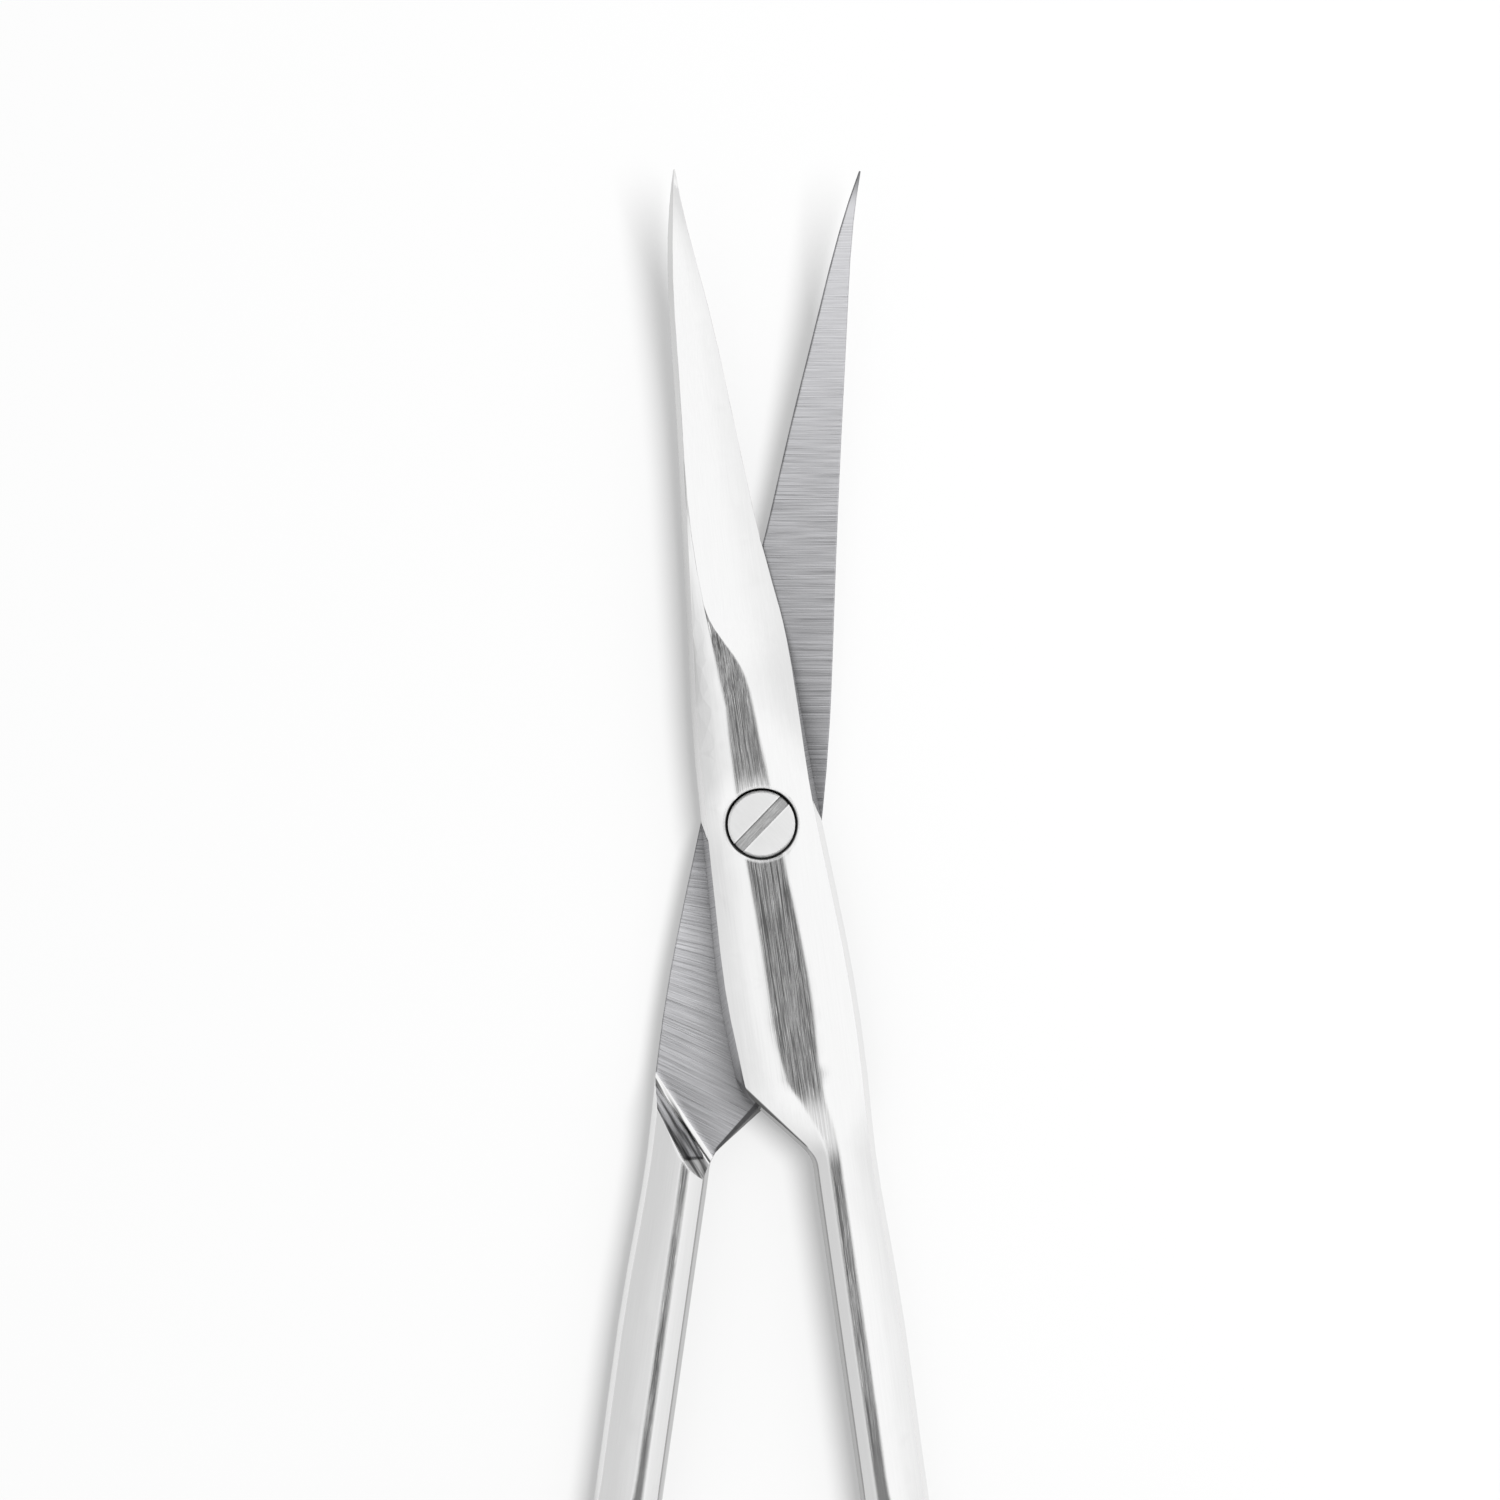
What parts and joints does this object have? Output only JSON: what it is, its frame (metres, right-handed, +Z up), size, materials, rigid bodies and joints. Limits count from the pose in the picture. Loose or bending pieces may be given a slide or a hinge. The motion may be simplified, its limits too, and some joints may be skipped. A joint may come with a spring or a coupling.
{
  "type": "cuticle scissors",
  "caption": "Slim polished-steel cuticle scissors with curved pointed blades, a slotted pivot screw and oval finger rings, shown slightly open.",
  "frame": {"origin": "on the pivot axis, in the plane that the scissors lie on", "axes": "+Z up along the pivot axis, +Y towards the tips, +X to the right seen from above"},
  "size_m": [0.0614, 0.0984, 0.0052],
  "materials": {
    "polished_steel": "polished, with fine grinding lines on the joint faces",
    "screw_steel": "satin turned"
  },
  "bodies": {
    "lower_half": {"lower_half": "polished_steel"},
    "upper_half": {"upper_half": "polished_steel"},
    "pivot_screw": {"pivot_screw": "screw_steel"}
  },
  "joints": [
    {"name": "blade_pivot", "type": "hinge", "parent": "lower_half", "child": "upper_half", "pos_m": [0, 0, 0.00175], "axis": [0, 0, 1], "range_deg": [-16.2, 34]},
    {"name": "tension_screw", "type": "hinge", "parent": "lower_half", "child": "pivot_screw", "pos_m": [0, 0, 0.00175], "axis": [0, 0, 1], "range_deg": [-90, 90]}
  ]
}
